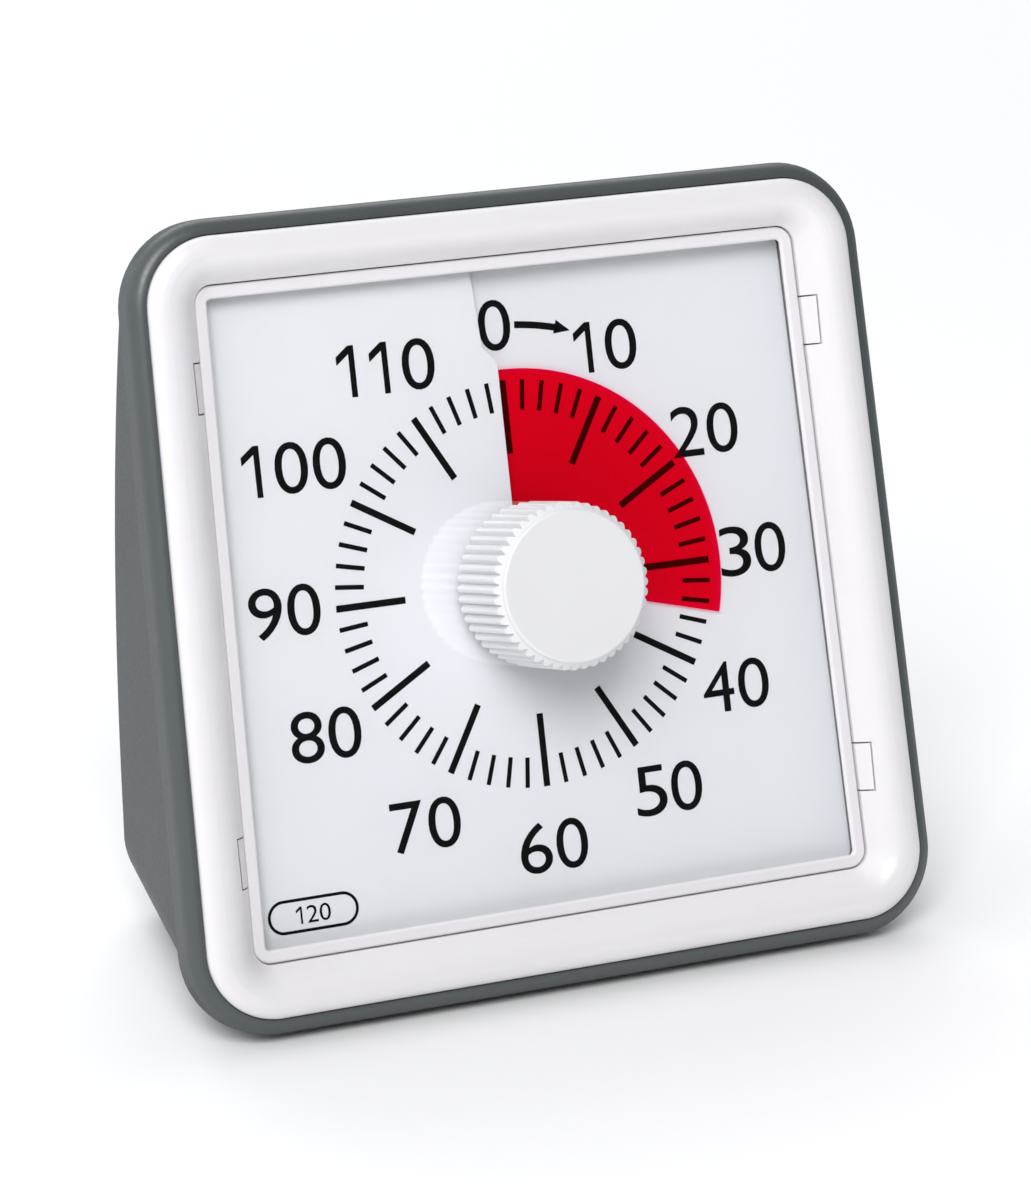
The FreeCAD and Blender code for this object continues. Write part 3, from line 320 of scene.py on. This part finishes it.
def font_figure(form, figure, middle, wide, high):
    """Adds one figure in a plain face, stretched to its printed width and height."""
    curve = bpy.data.curves.new("figure", "FONT")
    curve.body = figure
    curve.resolution_u = 6
    holder = bpy.data.objects.new("figure", curve)
    bpy.context.scene.collection.objects.link(holder)
    outline = bpy.data.meshes.new_from_object(holder.evaluated_get(bpy.context.evaluated_depsgraph_get()))
    bpy.data.objects.remove(holder)
    xs = [v.co.x for v in outline.vertices]
    ys = [v.co.y for v in outline.vertices]
    centre = Vector(((min(xs) + max(xs)) / 2, (min(ys) + max(ys)) / 2, 0))
    stretch = Matrix.Diagonal((wide / (max(xs) - min(xs)), high / (max(ys) - min(ys)), 1, 1))
    outline.transform(Matrix.Translation((middle, 0, 0)) @ stretch @ Matrix.Translation(-centre))
    form.from_mesh(outline)
    bpy.data.meshes.remove(outline)


def figure_one(form, stem, pen, high):
    """Adds the figure 1: an upright bar with a slanted flag and no foot."""
    place = Matrix.Translation((stem, 0, 0)) @ Matrix.Diagonal((pen / 2, high / 2, 1, 1))
    bar = bmesh.ops.create_grid(form, x_segments=1, y_segments=6, size=1.0, matrix=place)["verts"]
    left_side = [v for v in bar if v.co.x < stem]
    top_two = sorted(left_side, key=lambda v: v.co.y)[-2:]
    edge = [e for e in top_two[0].link_edges if e.other_vert(top_two[0]) is top_two[1]]
    flag = bmesh.ops.extrude_edge_only(form, edges=edge)["geom"]
    bmesh.ops.translate(form, verts=[v for v in flag if isinstance(v, bmesh.types.BMVert)],
                        vec=(ONE_FLAG[0] * high, ONE_FLAG[1] * high, 0))


def number(form, figures, x, y, scale):
    """Adds a number whose ink is centred on a place, its figures stepped as on the dial."""
    before = set(form.verts)
    middle = 0.0
    for figure in figures:
        if figure == "1":
            figure_one(form, middle, scale * FIGURE_PEN, scale * FIGURE_HIGH)
        else:
            font_figure(form, figure, middle, scale * FIGURE_WIDE, scale * FIGURE_HIGH)
        middle += scale * (ONE_STEP if figure == "1" else FIGURE_STEP)
    fresh = [v for v in form.verts if v not in before]
    ink = (min(v.co.x for v in fresh) + max(v.co.x for v in fresh)) / 2
    bmesh.ops.translate(form, verts=fresh, vec=(x - ink, y, 0))


def turning_arrow():
    """The small arrow after zero: a curved shaft with a slender head that shows which way to turn."""
    form = bmesh.new()
    radius = ARROW_RADIUS * UNIT
    low, high = math.radians(ARROW_SHAFT[0]), math.radians(ARROW_SHAFT[1])
    shaft = bmesh.ops.create_grid(form, x_segments=10, y_segments=1, size=1.0)["verts"]
    for vertex in shaft:
        turn = low + (high - low) * (vertex.co.x + 1) / 2
        reach = radius + ARROW_HALF_PEN * UNIT * vertex.co.y
        vertex.co = (reach * math.sin(turn), reach * math.cos(turn), 0)
    head = Matrix.Diagonal((ARROW_HEAD_WIDE * UNIT / math.sqrt(3), ARROW_HEAD_LONG * UNIT / 1.5, 1, 1))
    point = (Matrix.Rotation(-math.radians(ARROW_TIP), 4, "Z") @ Matrix.Translation((0, radius, 0))
             @ Matrix.Rotation(-math.pi / 2, 4, "Z") @ head @ Matrix.Translation((0, -1, 0)))
    bmesh.ops.create_circle(form, cap_ends=True, segments=3, radius=1.0, matrix=point)
    return flat_piece("turning_arrow", form)


def range_badge():
    """The small outlined badge near the dial's foot, with the dial's range in minutes as a plain number."""
    form = bmesh.new()
    left, right = BADGE_SIDES
    top, foot = BADGE_BELOW
    wide, high = UNIT * (right - left), UNIT * (foot - top)
    middle = (UNIT * (left + right) / 2, -UNIT * (top + foot) / 2)
    corners = bmesh.ops.create_grid(form, x_segments=1, y_segments=1, size=1.0, matrix=Matrix.Diagonal(
        (wide / 2, high / 2, 1, 1)))["verts"]
    bmesh.ops.bevel(form, geom=corners, offset=BADGE_ROUND * high, segments=10, profile=0.5,
                    affect="VERTICES", material=-1)
    plate = form.faces[:]
    bmesh.ops.inset_individual(form, faces=plate, thickness=BADGE_PEN * UNIT)
    bmesh.ops.delete(form, geom=plate, context="FACES")
    bmesh.ops.translate(form, verts=form.verts[:], vec=(middle[0], middle[1], 0))
    number(form, "120", middle[0], middle[1], UNIT * BADGE_FIGURE_HIGH / FIGURE_HIGH)
    return flat_piece("range_badge", form)


# Finishes. A moulding has a light and a dark tone, a roughness with its spread, and the size and depth in
# millimetres of its spark texture; a metal has two tones, a roughness, the size of its marks and their stretch.
grey_shell = moulded("slate_abs_shell", "#4A5051", "#444A4B", 0.36, 0.05, 0.35, 0.012, gloss=0.6,
                     edge_gloss=0.02)
white_bezel = moulded("white_abs_bezel", "#E2E0E3", "#DDDBDF", 0.32, 0.04, 0.5, 0.004, coat=0.15)
white_knob = moulded("white_abs_knob", "#DFDFE1", "#DADADD", 0.34, 0.04, 0.4, 0.004)
card_sheet = moulded("white_polypropylene_card", "#F6F7F8", "#F2F4F6", 0.5, 0.05, 0.25, 0.003)
inner_white = moulded("natural_abs_inner", "#DEDDD8", "#D6D5CF", 0.5, 0.05, 0.4, 0.006)
inner_black = moulded("black_abs_inner", "#1E1F20", "#161718", 0.5, 0.06, 0.4, 0.008)
resin_black = moulded("black_epoxy_blob", "#111112", "#0B0B0C", 0.25, 0.05, 1.2, 0.01)
board_green = moulded("green_solder_mask", "#17613A", "#114E2E", 0.3, 0.05, 0.8, 0.01)
foot_rubber = moulded("black_foot_rubber", "#262627", "#1B1B1C", 0.75, 0.06, 0.3, 0.015)
print_ink = moulded("black_screen_ink", "#0C0C0D", "#08080A", 0.6, 0.05, 0.2, 0.002, gloss=0.1)
plated_steel = metal("zinc_plated_steel", "#C9CBCD", "#B4B7BA", 0.3, 0.4, (1.0, 1.0, 1.0))
turned_brass = metal("turned_brass", "#D9B667", "#C19B4C", 0.28, 0.4, (1.0, 4.0, 1.0))
wound_copper = metal("lacquered_copper", "#B86A3C", "#97512B", 0.35, 0.2, (1.0, 6.0, 1.0))
clear_window = clear_plastic("clear_polystyrene_window", "#FDFDFE", 0.04, 0.08)
red_sheet = translucent_film()
battery_sleeve = cell_sleeve()

FINISH = {
    "rear_shell": grey_shell, "battery_door": grey_shell, "sound_switch": inner_black,
    "front_bezel": white_bezel, "lens_frame": white_bezel, "clear_lens": clear_window,
    "dial_card": card_sheet, "red_disc": red_sheet, "knob": white_knob, "dial_plate": inner_white,
    "disc_hub": inner_white, "knob_spindle": plated_steel, "drive_collar": turned_brass,
    "clutch_spring": plated_steel, "zero_cam": turned_brass, "output_wheel": turned_brass,
    "transfer_wheel": turned_brass, "transfer_arbor": plated_steel, "motor_rotor": inner_black,
    "motor_stator": plated_steel, "motor_coil": wound_copper, "movement_case": inner_black,
    "circuit_board": board_green, "control_chip": resin_black, "buzzer": inner_black,
    "switch_body": plated_steel, "zero_contact": turned_brass, "battery_cell": battery_sleeve,
    "contact_positive": plated_steel, "contact_negative": plated_steel, "shell_screws": plated_steel,
    "bezel_screws": plated_steel, "case_screws": plated_steel, "board_screws": plated_steel,
    "rubber_feet": foot_rubber,
}
for node_name, finish in FINISH.items():
    dress(node_name, finish)

# The dial's print
print_on_card("dial_ticks", printed_ticks())
for words, (across, down) in NUMERALS.items():
    face = bmesh.new()
    number(face, words, UNIT * (across - ART_MIDDLE) / ART_UNIT, UNIT * (ART_MIDDLE - down) / ART_UNIT, UNIT)
    print_on_card("numeral_" + words, flat_piece("numeral_" + words, face))
print_on_card("turning_arrow", turning_arrow())
print_on_card("range_badge", range_badge())


def paper_floor():
    """The pale paper that the timer stands on in its picture."""
    form = bmesh.new()
    bmesh.ops.create_grid(form, x_segments=1, y_segments=1, size=FLOOR_HALF)
    mesh = bpy.data.meshes.new("floor")
    form.to_mesh(mesh)
    form.free()
    paper, output = blank("pale_paper_floor")
    shader = add(paper, "ShaderNodeBsdfDiffuse", {"Color": paint_colour("#F1F1F1")})
    paper.node_tree.links.new(shader.outputs["BSDF"], output.inputs["Surface"])
    mesh.materials.append(paper)
    floor = bpy.data.objects.new("floor", mesh)
    bpy.context.scene.collection.objects.link(floor)


def studio_light():
    """A studio that is bright above and to the left, dimmer in front to the right, and dark where the
    window's mirror image looks."""
    world = bpy.data.worlds.new("studio")
    bpy.context.scene.world = world
    world.use_nodes = True
    sky = world.node_tree.nodes["Background"]
    sky.inputs["Color"].default_value = paint_colour("#F6F7FA")
    look = add(world, "ShaderNodeTexCoord")
    toward = add(world, "ShaderNodeVectorMath", {0: look.outputs["Generated"], 1: DIM_SIDE},
                 operation="DOT_PRODUCT")
    glow = ramp(world, toward.outputs["Value"], *STUDIO_GLOW, *DIM_FROM_TO)
    mirrored = add(world, "ShaderNodeVectorMath", {0: look.outputs["Generated"], 1: FLAG_SIDE},
                   operation="DOT_PRODUCT")
    flag = ramp(world, mirrored.outputs["Value"], 1.0, FLAG_SHADE, *FLAG_FROM_TO)
    shaded = add(world, "ShaderNodeMath", {0: glow.outputs["Result"], 1: flag.outputs["Result"]},
                 operation="MULTIPLY")
    world.node_tree.links.new(shaded.outputs[0], sky.inputs["Strength"])


def soft_box(name, place, target, size, watts):
    """A square soft light that faces a point."""
    lamp = bpy.data.lights.new(name, "AREA")
    lamp.shape = "SQUARE"
    lamp.size = size
    lamp.energy = watts
    holder = bpy.data.objects.new(name, lamp)
    holder.location = place
    holder.rotation_euler = (Vector(target) - Vector(place)).to_track_quat("-Z", "Y").to_euler()
    bpy.context.scene.collection.objects.link(holder)


def set_camera():
    """The camera, where the ticks of the dial place it."""
    camera_data = bpy.data.cameras.new("camera")
    camera_data.sensor_fit = "AUTO"
    camera_data.sensor_width = 36.0
    camera_data.lens = CAMERA_LENS_MM
    camera_data.clip_start = 0.01
    camera = bpy.data.objects.new("camera", camera_data)
    camera.location = DIAL_CENTRE + Vector(CAMERA_FROM_DIAL)
    camera.rotation_euler = [math.radians(degrees) for degrees in CAMERA_DEGREES]
    bpy.context.scene.collection.objects.link(camera)
    bpy.context.scene.camera = camera


# Floor, light and camera
bpy.context.scene.view_settings.view_transform = "Standard"
paper_floor()
studio_light()
soft_box("key_box", (-0.35, -0.67, 0.7), (0, 0, 0.04), 0.5, 7.4)
soft_box("backdrop_box", (0.2, 1.1, 1.0), (0.2, 0.8, 0), 1.2, 8.0)
set_camera()
